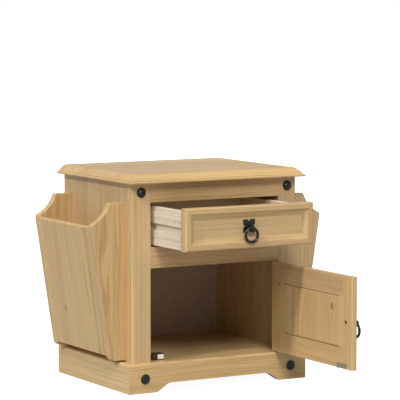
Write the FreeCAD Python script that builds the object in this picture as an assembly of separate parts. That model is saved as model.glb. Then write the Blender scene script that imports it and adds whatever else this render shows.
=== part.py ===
import FreeCAD, Part
import math
import os

# A pine nightstand with a magazine rack on each side, one drawer over one cupboard door.
# Units are millimetres. X runs to the right seen from the front, Y runs to the back, Z is up.
# Every function works with Y = 0 at the front plane of the posts. export() then moves the
# origin to the middle of the cabinet's footprint, on the floor.
# The drawer stands pulled out by DRAWER_OUT, and the door stands open by DOOR_OPEN.

V = FreeCAD.Vector

# ---------------------------------------------------------------- driving dimensions
HEIGHT = 500.0
BODY_W = 438.0
BODY_D = 342.0
PANEL_T = 18.0          # side panels, plinth and rack ends
RAIL_T = 22.0           # posts, front rails and drawer front
POST_W = 48.0
EASE = 0.8              # eased edge of every plain board

TOP_T = 21.0
TOP_SIDE = 15.0         # overhangs of the top board
TOP_FRONT = 21.0
TOP_BACK = 8.0
LIP_H = 5.6             # thin rounded lip under the moulding of the top
LIP_ROUND = 1.2
QUIRK_IN = 4.8
QUIRK_H = 7.2
MOULD_IN = 20.0

PLINTH_H = 68.0
FLOOR_T = 15.0
ARCH_FOOT = 164.5       # half distance between the two feet of the front plinth
ARCH_FLAT = 133.0
ARCH_H = 20.0
DRAWER_GAP_Z = (332.0, 434.5)
DOOR_GAP_TOP = 283.5
BACK_T = 3.5
BACK_REBATE = 4.0
REBATE_W = 9.0

DRAWER_OUT = 158.0
FRONT_HALF = 168.0      # half width of the drawer front
FRONT_Z = (336.0, 432.5)
FRAME_W = 26.0
BORDER = 13.0           # flat border outside the moulding
RECESS = 9.0            # depth of the drawer's panel below the border
BOX_HALF = 161.0        # half width of the drawer box
BOX_L = 290.0
BOX_Z = (336.5, 425.0)
SIDE_T = 14.0
GROOVE_Z = (371.5, 387.5)
GROOVE_DEPTH = 7.0
RUNNER_GAP = 0.75
CAM_R = 6.0
CAM_Z = (361.0, 398.0)
CAM_SINK = 1.6          # the cam locks lie this deep in the drawer's sides

DOOR_OPEN = 90.0
DOOR_T = 14.0
DOOR_SET = 1.0          # the door's face lies this far behind the posts
DOOR_X = (-169.0, 169.0)
DOOR_Z = (70.5, 281.0)
STILE_W = 52.0
RAIL_LET_IN = 16.0      # how far each rail is let into the stile
RAIL_H = 47.0
PANEL_GAP = 0.9         # shadow gap round the door panel, seen from inside
PANEL_BEVEL = 2.0
BOLT_SINK = 2.9         # the bolt head of the door pull lies this deep in the stile
BOLT_BORE_R = 5.2
PIVOT = (170.0, -3.4)
LEAF_T = 0.8
LEAF_H = 40.0
HINGE_Z = (86.0, 226.0)
BARREL_R = 3.0
PIN_HOLE_R = 1.5
PIN_R = 1.45

RACK_Y = (30.0, 322.0)
RACK_T = 18.0
RACK_FACE_T = 12.0
RACK_FACE_SET = 2.0
SLANT_LOW = (261.5, 88.0)
SLANT_HIGH = (306.5, 378.0)
RACK_END_Z = (72.0, 435.0)
RACK_FLOOR_Z = (82.0, 94.0)

STUD_R = 12.0
STUD_DOME = 7.0
STUD_SHANK = (2.0, 14.0)

PULL_HALF = 15.0        # half width of the square pull plate
PLATE_T = 2.2
EYE_OUT = 13.0          # the ring's pivot stands this far in front of the wood
EYE_DROP = 4.25
EYE_R = 7.5
EYE_HOLE_R = 4.3
EYE_HALF_W = 4.0
RING_R = 15.75
RING_BAR_R = 3.25
BOLT_R = 2.0

HALF_W = BODY_W / 2
SIDE_IN = HALF_W - PANEL_T
POST_IN = HALF_W - POST_W
TOP_Z = HEIGHT - TOP_T
BACK_Y = BODY_D - BACK_REBATE
RAIL_BACK_Y = BACK_Y - PANEL_T
DOOR_FACE_Y = DOOR_SET
DOOR_INNER_Y = DOOR_SET + DOOR_T
FRONT_Y = -DRAWER_OUT
FRONT_BACK_Y = RAIL_T - DRAWER_OUT
PANEL_Y = RECESS - DRAWER_OUT
PULL_Z = (FRONT_Z[0] + FRONT_Z[1]) / 2 + 2.0
DOOR_PULL_X = DOOR_X[0] + STILE_W / 2
DOOR_PULL_Z = 177.0


# ---------------------------------------------------------------- shape helpers
def box(x, y, z):
    """A plain block between the low and high value on each axis."""
    return Part.makeBox(x[1] - x[0], y[1] - y[0], z[1] - z[0], V(x[0], y[0], z[0]))


def ease(shape, radius=EASE, where=lambda b: True):
    """Round the edges whose bounding box passes the test."""
    return shape.makeFillet(radius, [e for e in shape.Edges if where(e.BoundBox)])


def board(x, y, z):
    """A planed board with all its edges eased."""
    return ease(box(x, y, z))


def prism(outline, axis, low, high):
    """Extrude an outline of straight steps (u, v) and arcs ((via), (end)) along one axis."""
    place = {
        "x": lambda p: V(low, p[0], p[1]),
        "y": lambda p: V(p[0], low, p[1]),
        "z": lambda p: V(p[0], p[1], low),
    }[axis]
    here = outline[0]
    edges = []
    for step in outline[1:] + [outline[0]]:
        if isinstance(step[0], tuple):
            via, end = step
            edges.append(Part.Arc(place(here), place(via), place(end)).toShape())
            here = end
        elif math.dist(here, step) > 1e-6:
            edges.append(Part.LineSegment(place(here), place(step)).toShape())
            here = step
    face = Part.Face(Part.Wire(edges))
    along = {"x": V(1, 0, 0), "y": V(0, 1, 0), "z": V(0, 0, 1)}[axis]
    return face.extrude(along * (high - low))


def rod(radius, start, along, length):
    """A round rod from a point along a direction."""
    return Part.makeCylinder(radius, length, V(*start), V(*along))


def mirrored(shape):
    """The same shape on the other side of the cabinet."""
    return shape.mirror(V(0, 0, 0), V(1, 0, 0))


def frustum(low, high):
    """A tapered block between two upright rectangles, each (x, y, z) with x and z as pairs."""
    wires = []
    for x, y, z in (low, high):
        corners = [(x[0], z[0]), (x[1], z[0]), (x[1], z[1]), (x[0], z[1]), (x[0], z[0])]
        wires.append(Part.makePolygon([V(a, y, b) for a, b in corners]))
    return Part.makeLoft(wires, True, True)


def inset(span, amount):
    """A span of two values drawn in by an amount at each end."""
    return (span[0] + amount, span[1] - amount)


def screw(start, along, length, head_r, shank_r):
    """A countersunk screw with a cross recess, its head flush at the start point."""
    head = Part.makeCone(head_r, shank_r, head_r - shank_r, V(0, 0, 0), V(0, 0, 1))
    body = head.fuse(rod(shank_r, (0, 0, 0), (0, 0, 1), length))
    arm = head_r * 0.6
    slot = head_r * 0.14
    depth = (-0.1, head_r * 0.35)
    for cross in (box((-arm, arm), (-slot, slot), depth), box((-slot, slot), (-arm, arm), depth)):
        body = body.cut(cross)
    turn = FreeCAD.Rotation(V(0, 0, 1), V(*along))
    body.Placement = FreeCAD.Placement(V(*start), turn)
    return body


def carcass_screw(start, along):
    return screw(start, along, 35.0, 4.0, 2.0)


def small_screw(start, along):
    return screw(start, along, 11.0, 2.4, 1.2)


def bored(shape, fasteners):
    """Cut the holes that the fasteners fill, and drop the waste left in their slots."""
    drilled = shape.cut(Part.makeCompound(fasteners))
    return max(drilled.Solids, key=lambda solid: solid.Volume)


def opened(shape):
    """Swing a piece of the door from closed to its standing angle."""
    turned = shape.copy()
    turned.rotate(V(PIVOT[0], PIVOT[1], 0), V(0, 0, 1), DOOR_OPEN)
    return turned


# ---------------------------------------------------------------- fasteners
def rack_screws():
    rows = [(y, z) for y in (RACK_Y[0] + RACK_T / 2, RACK_Y[1] - RACK_T / 2) for z in (110, 250, 405)]
    return [carcass_screw((SIDE_IN, y, z), (1, 0, 0)) for y, z in rows]


def top_block_spots():
    return [(side * (SIDE_IN - 10.0), y) for side in (-1, 1) for y in (130.0, 270.0)]


def top_screws():
    return [carcass_screw((x, y, TOP_Z - 22.0), (0, 0, 1)) for x, y in top_block_spots()]


def runner_screws():
    start = BOX_HALF - GROOVE_DEPTH + 1.5
    mid = sum(GROOVE_Z) / 2
    return [screw((start, y, mid), (1, 0, 0), 58.0, 4.0, 2.0) for y in (60.0, 285.0)]


def hinge_screw_heights():
    return [z + dz for z in HINGE_Z for dz in (8.0, LEAF_H - 8.0)]


def post_hinge_screws():
    start = PIVOT[0] + 0.2
    return [small_screw((start, 8.5, z), (1, 0, 0)) for z in hinge_screw_heights()]


def door_hinge_screws():
    start = PIVOT[0] - 0.2
    return [small_screw((start, 8.5, z), (-1, 0, 0)) for z in hinge_screw_heights()]


def catch_screws():
    spots = ((-151.0, 25.0), (-136.0, 32.0))
    return [small_screw((x, y, PLINTH_H + 2.0), (0, 0, -1)) for x, y in spots]


def strike_screws():
    start = DOOR_INNER_Y + 1.2
    return [small_screw((x, start, 77.0), (0, -1, 0)) for x in (-144.5, -127.5)]


def drawer_cams():
    cams = []
    for side in (-1, 1):
        for z in CAM_Z:
            face = BOX_HALF - CAM_SINK
            disc = rod(CAM_R, (side * face, FRONT_BACK_Y + 9.0, z), (-side, 0, 0), 6.5)
            slot_x = sorted((side * face, side * (face - 1.6)))
            y = (FRONT_BACK_Y + 9.0 - 3.6, FRONT_BACK_Y + 9.0 + 3.6)
            disc = disc.cut(box(slot_x, y, (z - 0.8, z + 0.8)))
            cams.append(disc)
    return cams


def plinth_studs():
    return [stud((side * (HALF_W - POST_W / 2), -PANEL_T, 33.0)) for side in (-1, 1)]


def post_studs():
    return [stud((side * (HALF_W - POST_W / 2), 0.0, 458.0)) for side in (-1, 1)]


def stud(seat):
    """A round-headed iron nail: a shallow dome on the wood and a shank driven into it."""
    ball_r = (STUD_R ** 2 + STUD_DOME ** 2) / (2 * STUD_DOME)
    ball = Part.makeSphere(ball_r, V(seat[0], seat[1] - STUD_DOME + ball_r, seat[2]))
    slab = box(
        (seat[0] - STUD_R, seat[0] + STUD_R),
        (seat[1] - STUD_DOME, seat[1]),
        (seat[2] - STUD_R, seat[2] + STUD_R),
    )
    return ball.common(slab).fuse(rod(STUD_SHANK[0], seat, (0, 1, 0), STUD_SHANK[1]))


# ---------------------------------------------------------------- carcass
def top_edge_waste(tip, low, high, axis):
    """What the moulding plane takes off one edge; the edge lies at +tip on the other axis."""
    z = TOP_Z
    outline = [
        (tip - LIP_ROUND, z),
        ((tip, z + 2.4), (tip - LIP_ROUND - 1.6, z + LIP_H)),
        (tip - QUIRK_IN, z + LIP_H),
        (tip - QUIRK_IN, z + QUIRK_H),
        ((tip - 11.6, z + 14.6), (tip - MOULD_IN, z + TOP_T)),
        (tip - MOULD_IN, z + TOP_T + 2),
        (tip + 2, z + TOP_T + 2),
        (tip + 2, z - 2),
        (tip - LIP_ROUND, z - 2),
    ]
    return prism(outline, axis, low, high)


def top_board():
    tip_x = HALF_W + TOP_SIDE
    slab = box((-tip_x, tip_x), (-TOP_FRONT, BODY_D + TOP_BACK), (TOP_Z, HEIGHT))
    side = top_edge_waste(tip_x, -TOP_FRONT - 2, BODY_D + TOP_BACK + 2, "y")
    front = top_edge_waste(TOP_FRONT, -tip_x - 2, tip_x + 2, "x")
    front = front.mirror(V(0, 0, 0), V(0, 1, 0))
    slab = slab.cut(Part.makeCompound([side, mirrored(side), front]))
    return bored(slab, top_screws())


def side_panel():
    """The right side panel, rebated along its back edge for the back panel."""
    panel = ease(box((SIDE_IN, HALF_W), (RAIL_T, BODY_D), (0, TOP_Z)), EASE, lambda b: b.ZLength > 99)
    rebate = box((SIDE_IN - 1, SIDE_IN + REBATE_W), (BACK_Y, BODY_D + 1), (-1, TOP_Z + 1))
    return bored(panel.cut(rebate), rack_screws() + runner_screws())


def front_post():
    """The right front post: its outer corner is well rounded."""
    post = box((POST_IN, HALF_W), (0, RAIL_T), (0, TOP_Z))
    post = ease(post, 4.0, lambda b: b.ZLength > 99 and b.XMin > HALF_W - 1 and b.YMax < 1)
    return ease(post, EASE, lambda b: b.ZLength > 99 and b.XMax < HALF_W - 1 and b.YMax < 1)


def right_post():
    studs = [s for s in post_studs() if s.BoundBox.XMin > 0]
    return bored(front_post(), studs + post_hinge_screws())


def left_post():
    studs = [s for s in post_studs() if s.BoundBox.XMin < 0]
    return bored(mirrored(front_post()), studs)


def front_rail(z):
    return board((-POST_IN, POST_IN), (0, RAIL_T), z)


def back_rail(z):
    return board((-SIDE_IN, SIDE_IN), (RAIL_BACK_Y, BACK_Y), z)


def cupboard_floor():
    z = (PLINTH_H - FLOOR_T, PLINTH_H)
    wide = box((-SIDE_IN, SIDE_IN), (RAIL_T, BACK_Y), z)
    tongue = box((-POST_IN, POST_IN), (0, RAIL_T), z)
    return bored(wide.fuse(tongue).removeSplitter(), catch_screws())


def back_panel():
    half = SIDE_IN + REBATE_W - 0.5
    return box((-half, half), (BACK_Y + 0.2, BACK_Y + 0.2 + BACK_T), (14.0, TOP_Z - 1.0))


def plinth_front():
    """The front plinth board, mitred at both ends, with an arch between its feet."""
    out = HALF_W + PANEL_T
    plan = [(-out, -PANEL_T), (out, -PANEL_T), (HALF_W, 0.0), (-HALF_W, 0.0)]
    blank = prism(plan, "z", 0.0, PLINTH_H)
    blank = ease(blank, 5.0, lambda b: b.ZMin > PLINTH_H - 1 and b.YMax < -PANEL_T + 1)
    slope = math.atan2(ARCH_H, ARCH_FOOT - ARCH_FLAT)
    bend = 26.0 * math.tan(slope / 2)
    half = slope / 2
    foot = (ARCH_FOOT, 0.0)
    leave = (ARCH_FLAT + bend * math.cos(slope), ARCH_H - bend * math.sin(slope))
    sag = 26.0 * (1 - math.cos(half))
    middle = (ARCH_FLAT - bend + 26.0 * math.sin(half), ARCH_H - sag)
    level = (ARCH_FLAT - bend, ARCH_H)
    arch = [
        (-foot[0], -1.0), (-foot[0], 0.0), (-leave[0], leave[1]),
        ((-middle[0], middle[1]), (-level[0], level[1])),
        level, (middle, leave), foot, (foot[0], -1.0),
    ]
    blank = blank.cut(prism(arch, "y", -PANEL_T - 1, 1.0))
    return bored(blank, plinth_studs())


def plinth_side():
    """The right plinth board, mitred at the front corner."""
    out = HALF_W + PANEL_T
    plan = [(out, -PANEL_T), (out, BODY_D), (HALF_W, BODY_D), (HALF_W, 0.0)]
    blank = prism(plan, "z", 0.0, PLINTH_H)
    return ease(blank, 5.0, lambda b: b.ZMin > PLINTH_H - 1 and b.XMin > out - 1)


def plinth_blocks():
    """Glue blocks in the four inner corners under the cupboard floor."""
    z = (8.0, PLINTH_H - FLOOR_T)
    spans = ((RAIL_T, RAIL_T + 28.0), (RAIL_BACK_Y - 28.0, RAIL_BACK_Y))
    right = [board((SIDE_IN - 28.0, SIDE_IN), y, z) for y in spans]
    return right + [mirrored(b) for b in right]


def top_blocks():
    """Blocks that hold the top board down to the side panels."""
    blocks = []
    for x, y in top_block_spots():
        blank = board((x - 10.0, x + 10.0), (y - 22.0, y + 22.0), (TOP_Z - 22.0, TOP_Z))
        blocks.append(bored(blank, top_screws()))
    return blocks


def drawer_runner():
    """The right runner batten, which the groove in the drawer side slides along."""
    z = inset(GROOVE_Z, RUNNER_GAP)
    start = BOX_HALF - GROOVE_DEPTH + 1.5
    return bored(board((start, SIDE_IN), (RAIL_T + 2, RAIL_BACK_Y), z), runner_screws())


def carcass_screws():
    return top_screws() + rack_screws() + [mirrored(s) for s in rack_screws()]


# ---------------------------------------------------------------- magazine racks
def rack_end(y):
    """A shaped end of the right rack, between its front and back value of Y."""
    low, high = RACK_END_Z
    outline = [
        (HALF_W, low),
        slant_at(low),
        slant_at(386.0),
        ((279.5, 404.0), (260.5, high)),
        (HALF_W, high),
    ]
    blank = prism(outline, "y", y[0], y[1])
    corners = ((12.0, low), (8.0, 386.0), (5.0, high))
    for radius, z in corners:
        blank = ease(blank, radius, lambda b: b.XMin > 250 and b.YLength > 9 and abs(b.ZMin - z) < 0.5)
    blank = ease(blank, 2.0, lambda b: b.XMax > HALF_W + 1 and b.YLength < 1)
    return bored(blank, rack_screws())


def slant_at(z):
    """The point of the slanted edge at a height."""
    slope = (SLANT_HIGH[0] - SLANT_LOW[0]) / (SLANT_HIGH[1] - SLANT_LOW[1])
    return (SLANT_LOW[0] + (z - SLANT_LOW[1]) * slope, z)


def slant_point(along, inward):
    """A point from the foot of the slanted edge: a distance up it, and one in from it."""
    run = (SLANT_HIGH[0] - SLANT_LOW[0], SLANT_HIGH[1] - SLANT_LOW[1])
    length = math.hypot(*run)
    unit = (run[0] / length, run[1] / length)
    x = SLANT_LOW[0] + along * unit[0] - inward * unit[1]
    z = SLANT_LOW[1] + along * unit[1] + inward * unit[0]
    return (x, z)


def rack_face():
    """The slanted outer board of the right rack, between the two ends."""
    near = RACK_FACE_SET
    far = RACK_FACE_SET + RACK_FACE_T
    outline = [slant_point(-6, near), slant_point(296, near), slant_point(296, far), slant_point(-6, far)]
    blank = prism(outline, "y", RACK_Y[0] + RACK_T, RACK_Y[1] - RACK_T)
    return ease(blank, 4.5, lambda b: b.YLength > 99 and b.ZMin > SLANT_HIGH[1] - 6)


def rack_floor():
    """The bottom of the right rack, fitted against the slanted board."""
    far = RACK_FACE_SET + RACK_FACE_T
    low, high = RACK_FLOOR_Z
    foot, head = slant_point(0, far), slant_point(100, far)
    slope = (head[0] - foot[0]) / (head[1] - foot[1])
    edge = [(foot[0] + (z - foot[1]) * slope, z) for z in (low, high)]
    outline = [(HALF_W, low), edge[0], edge[1], (HALF_W, high)]
    return prism(outline, "y", RACK_Y[0] + RACK_T, RACK_Y[1] - RACK_T)


# ---------------------------------------------------------------- catch and hinges
def catch_housing():
    """The dark body of the magnetic catch, screwed down through two wells in its top."""
    z = (PLINTH_H, PLINTH_H + 15.0)
    body = ease(box((-157.0, -127.0), (18.5, 36.0), z), 1.2, lambda b: b.ZMin > PLINTH_H + 1)
    wells = []
    for head in catch_screws():
        middle = head.BoundBox.Center
        wells.append(rod(2.7, (middle.x, middle.y, PLINTH_H + 2.0), (0, 0, 1), 15.0))
    return bored(body.cut(Part.makeCompound(wells + [catch_magnet()])), catch_screws())


def catch_magnet():
    """The pale block that carries the magnet, standing proud of the housing."""
    z = (PLINTH_H + 2.0, PLINTH_H + 12.5)
    return ease(box((-143.5, -127.8), (16.6, 27.0), z), EASE, lambda b: b.YMax < 17)


def strike_plate():
    """The steel plate that the catch holds, with one end bent out as a guide."""
    z = (DOOR_Z[0] + 0.5, DOOR_Z[0] + 12.5)
    face = box((-150.0, -118.5), (DOOR_INNER_Y, DOOR_INNER_Y + 1.2), z)
    lip = box((-119.7, -118.5), (DOOR_INNER_Y, DOOR_INNER_Y + 7.0), z)
    return bored(face.fuse(lip).removeSplitter(), strike_screws())


def hinge_leaf(z0, knuckles, x):
    """A hinge leaf with its knuckles, each given as a span up the leaf."""
    leaf = box(x, (PIVOT[1] + BARREL_R + 0.4, 13.0), (z0, z0 + LEAF_H))
    for low, high in knuckles:
        tab = box(x, (PIVOT[1], PIVOT[1] + BARREL_R + 0.4), (z0 + low, z0 + high))
        barrel = rod(BARREL_R, (PIVOT[0], PIVOT[1], z0 + low), (0, 0, 1), high - low)
        leaf = leaf.fuse(tab.fuse(barrel))
    hole = rod(PIN_HOLE_R, (PIVOT[0], PIVOT[1], z0 - 1), (0, 0, 1), LEAF_H + 2)
    return leaf.cut(hole).removeSplitter()


def post_leaf(z0):
    x = (PIVOT[0] + 0.2, PIVOT[0] + 0.2 + LEAF_T)
    leaf = hinge_leaf(z0, ((0.0, 12.0), (28.0, LEAF_H)), x)
    return bored(leaf, post_hinge_screws())


def door_leaf(z0):
    x = (PIVOT[0] - 0.2 - LEAF_T, PIVOT[0] - 0.2)
    leaf = hinge_leaf(z0, ((12.3, 27.7),), x)
    return bored(leaf, door_hinge_screws())


def hinge_pins():
    """Two hinge pins with a small button at each end."""
    pins = []
    for z0 in HINGE_Z:
        pin = rod(PIN_R, (PIVOT[0], PIVOT[1], z0), (0, 0, 1), LEAF_H)
        for z in (z0 - 2.0, z0 + LEAF_H):
            pin = pin.fuse(rod(2.4, (PIVOT[0], PIVOT[1], z), (0, 0, 1), 2.0))
        pins.append(pin.removeSplitter())
    return pins


# ---------------------------------------------------------------- ring pulls
def pull_at(shape, x, y, z):
    moved = shape.copy()
    moved.translate(V(x, y, z))
    return moved


def pull_plate():
    """A square plate notched on all four sides, with a boss and an eye for the ring."""
    h = PULL_HALF
    corners = []
    for quarter in range(4):
        turn = math.radians(90 * quarter)
        for u, v in ((-h, h), (-4.5, h), (0.0, h - 5.0), (4.5, h)):
            corners.append((u * math.cos(turn) + v * math.sin(turn), v * math.cos(turn) - u * math.sin(turn)))
    plate = prism(corners, "y", -PLATE_T, 0.0)
    boss = Part.makeCone(8.0, 5.0, 6.0, V(0, 0, 0), V(0, -1, 0))
    neck = rod(EYE_HALF_W, (0, 0, -EYE_DROP / 2), (0, -1, 0), EYE_OUT)
    eye = rod(EYE_R, (-EYE_HALF_W, -EYE_OUT, -EYE_DROP), (1, 0, 0), 2 * EYE_HALF_W)
    eye = ease(eye, 1.6)
    hole = rod(EYE_HOLE_R, (-9, -EYE_OUT, -EYE_DROP), (1, 0, 0), 18)
    body = plate.fuse([boss, neck, eye]).cut(hole).removeSplitter()
    return body.cut(pull_bolt(0.0))


def pull_bolt(wood):
    """The bolt that comes from inside through the wood and into the boss."""
    shank = rod(BOLT_R, (0, wood, 0), (0, -1, 0), wood + 5.0)
    head = ease(rod(4.2, (0, wood, 0), (0, 1, 0), 2.6), 0.9, lambda b: b.YMin > wood + 1)
    slot = box((-5.0, 5.0), (wood + 1.6, wood + 3.0), (-0.5, 0.5))
    return shank.fuse(head).cut(slot).removeSplitter()


def pull_ring():
    """The ring, hanging straight down from the eye."""
    centre = V(0, -EYE_OUT, -EYE_DROP - RING_R)
    return Part.makeTorus(RING_R, RING_BAR_R, centre, V(0, 1, 0))


# ---------------------------------------------------------------- drawer
def recess(x, z, y, depth, width):
    """The stepped and bevelled hollow inside a frame, from its face at y inwards."""
    step = 1.8
    square = box(x, (y - 1, y + step), z)
    low = (inset(x, 0.8), y + step - 0.2, inset(z, 0.8))
    high = (inset(x, width - 0.6), y + depth - 1.2, inset(z, width - 0.6))
    middle = box(inset(x, width), (y, y + depth), inset(z, width))
    return square.fuse([frustum(low, high), middle])


def drawer_front_panel():
    x = inset((-FRONT_HALF, FRONT_HALF), FRAME_W - 8.0)
    z = inset(FRONT_Z, FRAME_W - 8.0)
    panel = box(x, (PANEL_Y, FRONT_BACK_Y), z)
    return panel.cut(Part.makeCompound([drawer_bottom(), drawer_bolt()]))


def drawer_frame(side):
    """One mitred member of the frame round the drawer's front panel."""
    x0, x1 = -FRONT_HALF, FRONT_HALF
    z0, z1 = FRONT_Z
    w = FRAME_W
    outlines = {
        "top": [(x0, z1), (x1, z1), (x1 - w, z1 - w), (x0 + w, z1 - w)],
        "bottom": [(x0, z0), (x0 + w, z0 + w), (x1 - w, z0 + w), (x1, z0)],
        "left": [(x0, z0), (x0, z1), (x0 + w, z1 - w), (x0 + w, z0 + w)],
        "right": [(x1, z0), (x1 - w, z0 + w), (x1 - w, z1 - w), (x1, z1)],
    }
    member = prism(outlines[side], "y", FRONT_Y, FRONT_BACK_Y)
    outer = {
        "top": lambda b: b.ZMin > z1 - 1,
        "bottom": lambda b: b.ZMax < z0 + 1,
        "left": lambda b: b.XMax < x0 + 1,
        "right": lambda b: b.XMin > x1 - 1,
    }[side]
    member = ease(member, 4.5, lambda b: outer(b) and b.YMax < FRONT_Y + 1)
    face = recess(inset((x0, x1), BORDER), inset(FRONT_Z, BORDER), FRONT_Y, RECESS, w - BORDER)
    return member.cut(Part.makeCompound([face])).cut(drawer_front_panel()).cut(drawer_bottom())


def drawer_side():
    """The right side of the drawer box, grooved outside for the runner."""
    y = (FRONT_BACK_Y, FRONT_BACK_Y + BOX_L)
    x = (BOX_HALF - SIDE_T, BOX_HALF)
    side = ease(box(x, y, BOX_Z), 1.5, lambda b: b.YLength > 99 and b.ZMin > BOX_Z[1] - 1)
    groove = box((BOX_HALF - GROOVE_DEPTH, BOX_HALF + 1), (y[0] - 1, y[1] + 1), GROOVE_Z)
    hole = rod(2.3, (BOX_HALF + 1, FRONT_BACK_Y + 44.0, 398.0), (-1, 0, 0), 10.0)
    bores = [rod(CAM_R, (BOX_HALF + 1, FRONT_BACK_Y + 9.0, z), (-1, 0, 0), 1 + CAM_SINK) for z in CAM_Z]
    side = side.cut(Part.makeCompound([groove, hole, drawer_bottom(), drawer_back()] + bores))
    return bored(side, drawer_cams())


def left_drawer_side():
    return mirrored(drawer_side())


def drawer_back():
    """The back, housed in a groove in each side; the bottom slides in under it."""
    y1 = FRONT_BACK_Y + BOX_L - 4.0
    half = BOX_HALF - SIDE_T + 4.0
    return box((-half, half), (y1 - 12.0, y1), (347.5, BOX_Z[1] - 5.0))


def drawer_bottom():
    half = BOX_HALF - SIDE_T + 5.0
    return box((-half, half), (FRONT_BACK_Y - 4.0, FRONT_BACK_Y + BOX_L), (344.0, 347.2))


def drawer_bolt():
    return pull_at(pull_bolt(RAIL_T - RECESS), 0, PANEL_Y, PULL_Z)


# ---------------------------------------------------------------- door, drawn closed
def door_recess():
    x = inset(DOOR_X, STILE_W - 10.0)
    z = inset(DOOR_Z, RAIL_H - 10.0)
    return recess(x, z, DOOR_FACE_Y, 6.0, 10.0)


def door_member(shape):
    return shape.cut(door_recess()).cut(door_panel())


def door_stile(left):
    """A full-height stile, notched at both ends for the rails."""
    x = (DOOR_X[0], DOOR_X[0] + STILE_W) if left else (DOOR_X[1] - STILE_W, DOOR_X[1])
    stile = box(x, (DOOR_FACE_Y, DOOR_INNER_Y), DOOR_Z)
    outer = (lambda b: b.XMax < DOOR_X[0] + 1) if left else (lambda b: b.XMin > DOOR_X[1] - 1)
    stile = ease(stile, 2.6 if left else EASE, lambda b: b.ZLength > 99 and outer(b))
    for rail in (door_rail(DOOR_Z[0], False), door_rail(DOOR_Z[1] - RAIL_H, False)):
        stile = stile.cut(rail)
    return stile


def door_rail(z0, eased=True):
    x = inset(DOOR_X, STILE_W - RAIL_LET_IN)
    blank = box(x, (DOOR_FACE_Y, DOOR_INNER_Y), (z0, z0 + RAIL_H))
    if not eased:
        return blank
    rim = DOOR_Z[0] if z0 < 100 else DOOR_Z[1]
    return ease(blank, EASE, lambda b: b.XLength > 99 and abs(b.ZMin - rim) < 0.1)


def door_panel():
    """The panel: tongued into the frame; inside, its bevelled face is flush with the frame."""
    x = inset(DOOR_X, STILE_W)
    z = inset(DOOR_Z, RAIL_H)
    shoulder = DOOR_INNER_Y - 3.0
    body = box(x, (DOOR_FACE_Y + 6.0, shoulder), z)
    tongue = box(inset(x, -6.0), (DOOR_FACE_Y + 8.0, DOOR_FACE_Y + 11.0), inset(z, -6.0))
    edge = (inset(x, PANEL_GAP), DOOR_INNER_Y - PANEL_BEVEL, inset(z, PANEL_GAP))
    flat = (inset(x, PANEL_GAP + PANEL_BEVEL), DOOR_INNER_Y, inset(z, PANEL_GAP + PANEL_BEVEL))
    rim = box(edge[0], (shoulder, edge[1]), edge[2])
    return body.fuse([tongue, rim, frustum(edge, flat)]).removeSplitter()


def left_stile():
    """The free stile, with a sunk bore for the head of the pull's bolt."""
    holes = strike_screws() + [door_bolt()]
    seat = (DOOR_PULL_X, DOOR_INNER_Y + 1.0, DOOR_PULL_Z)
    stile = door_stile(True).cut(rod(BOLT_BORE_R, seat, (0, -1, 0), BOLT_SINK + 1.0))
    return door_member(bored(stile, holes))


def right_stile():
    return door_member(bored(door_stile(False), door_hinge_screws()))


def door_bolt():
    return pull_at(pull_bolt(DOOR_T - BOLT_SINK), DOOR_PULL_X, DOOR_FACE_Y, DOOR_PULL_Z)


def bottom_door_rail():
    return bored(door_member(door_rail(DOOR_Z[0])), strike_screws())


def top_door_rail():
    return door_member(door_rail(DOOR_Z[1] - RAIL_H))


# ---------------------------------------------------------------- the list of pieces
def root_pieces():
    return {
        "top_board": top_board(),
        "left_side_panel": mirrored(side_panel()),
        "right_side_panel": side_panel(),
        "left_front_post": left_post(),
        "right_front_post": right_post(),
        "top_rail": front_rail((DRAWER_GAP_Z[1], TOP_Z)),
        "middle_rail": front_rail((DOOR_GAP_TOP, DRAWER_GAP_Z[0])),
        "back_top_rail": back_rail((DRAWER_GAP_Z[1], TOP_Z)),
        "back_bottom_rail": back_rail((12.0, PLINTH_H - FLOOR_T)),
        "cupboard_floor": cupboard_floor(),
        "back_panel": back_panel(),
        "plinth_front": plinth_front(),
        "plinth_left": mirrored(plinth_side()),
        "plinth_right": plinth_side(),
        "plinth_corner_blocks": plinth_blocks(),
        "top_fixing_blocks": top_blocks(),
        "left_drawer_runner": mirrored(drawer_runner()),
        "right_drawer_runner": drawer_runner(),
        "carcass_screws": carcass_screws(),
        "runner_screws": runner_screws() + [mirrored(s) for s in runner_screws()],
        "corner_studs": post_studs() + plinth_studs(),
        "catch_housing": catch_housing(),
        "catch_magnet": catch_magnet(),
        "upper_hinge_post_leaf": post_leaf(HINGE_Z[1]),
        "lower_hinge_post_leaf": post_leaf(HINGE_Z[0]),
        "hinge_pins": hinge_pins(),
        "cabinet_small_screws": post_hinge_screws() + catch_screws(),
    }


def rack_pieces():
    near = (RACK_Y[0], RACK_Y[0] + RACK_T)
    back = (RACK_Y[1] - RACK_T, RACK_Y[1])
    right = {
        "front_end": rack_end(near),
        "back_end": rack_end(back),
        "face": rack_face(),
        "floor": rack_floor(),
    }
    pieces = {}
    for name, shape in right.items():
        pieces["right_rack_" + name] = shape
        pieces["left_rack_" + name] = mirrored(shape)
    return pieces


def drawer_pieces():
    pieces = {"drawer_frame_" + side: drawer_frame(side) for side in ("top", "bottom", "left", "right")}
    pieces.update({
        "drawer_front_panel": drawer_front_panel(),
        "drawer_side_left": left_drawer_side(),
        "drawer_side_right": drawer_side(),
        "drawer_back": drawer_back(),
        "drawer_bottom": drawer_bottom(),
        "drawer_cam_locks": drawer_cams(),
        "drawer_pull_plate": pull_at(pull_plate(), 0, PANEL_Y, PULL_Z),
        "drawer_pull_bolt": drawer_bolt(),
        "drawer_pull_ring": pull_at(pull_ring(), 0, PANEL_Y, PULL_Z),
    })
    return pieces


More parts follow.
